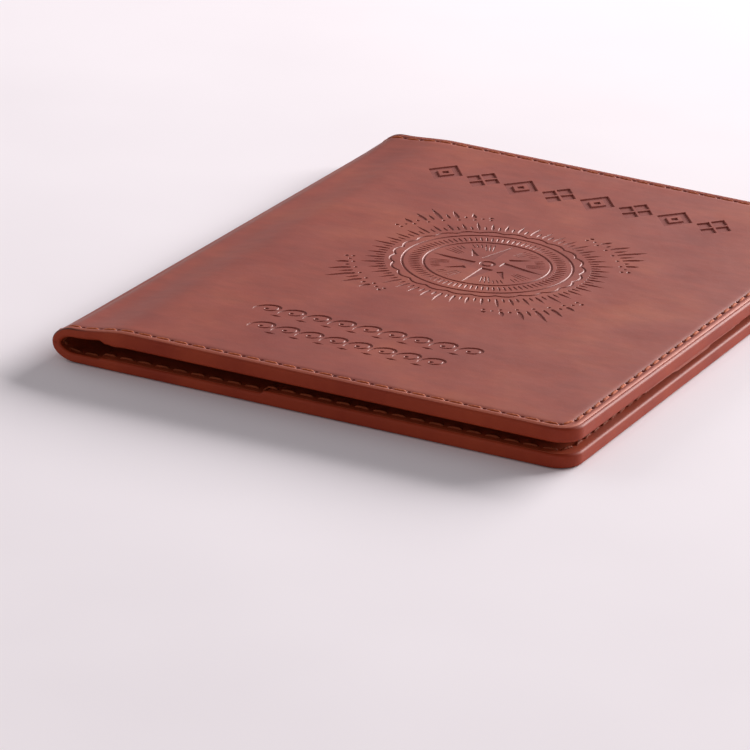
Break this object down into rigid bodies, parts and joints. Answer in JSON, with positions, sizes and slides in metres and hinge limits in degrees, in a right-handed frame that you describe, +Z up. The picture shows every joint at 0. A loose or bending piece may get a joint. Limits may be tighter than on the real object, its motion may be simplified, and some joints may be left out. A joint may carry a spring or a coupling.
{
  "type": "passport holder",
  "caption": "Bifold leather passport holder, closed: stitched covers with painted edges and a round spine, a sleeve for the passport and a panel of card slots.",
  "frame": {"origin": "middle of the closed holder's underside, on the surface it lies on", "axes": "+X from the spine to the fore edge, +Y from the tail to the head, +Z up through both covers"},
  "size_m": [0.1084, 0.142, 0.0081],
  "materials": {
    "outer_leather": "smooth pull-up brown, semi-gloss, clouded",
    "lining_leather": "smooth brown, satin",
    "edge_paint": "glossy red-brown paint on the cut edges",
    "thread": "waxed orange-brown thread",
    "stiffener_board": "matt grey-brown board"
  },
  "bodies": {
    "back_cover": {"back_cover_leather": "outer_leather", "back_stiffener_board": "stiffener_board", "back_lining": "lining_leather", "back_edge_paint": "edge_paint", "back_outer_stitching": "thread", "passport_sleeve": "lining_leather", "back_inner_stitching": "thread"},
    "spine": {"spine_leather": "outer_leather", "spine_lining": "lining_leather", "spine_edge_paint_head": "edge_paint", "spine_outer_stitching_head": "thread", "spine_inner_stitching_head": "thread", "spine_edge_paint_tail": "edge_paint", "spine_outer_stitching_tail": "thread", "spine_inner_stitching_tail": "thread"},
    "front_cover": {"front_cover_leather": "outer_leather", "front_stiffener_board": "stiffener_board", "front_lining": "lining_leather", "front_edge_paint": "edge_paint", "front_outer_stitching": "thread", "card_panel": "lining_leather", "card_slot_top": "lining_leather", "card_slot_middle": "lining_leather", "card_slot_bottom": "lining_leather", "card_slot_side_stitching": "thread", "front_inner_stitching": "thread"}
  },
  "joints": [
    {"name": "back_fold", "type": "hinge", "parent": "back_cover", "child": "spine", "pos_m": [-0.05333, 0, 0.00087], "axis": [0, -1, 0], "range_deg": [0, 90]},
    {"name": "front_fold", "type": "hinge", "parent": "spine", "child": "front_cover", "pos_m": [-0.05333, 0, 0.00723], "axis": [0, -1, 0], "range_deg": [0, 90]}
  ],
  "couplings": [
    {"joint": "front_fold", "follows": "back_fold", "ratio": 1}
  ]
}
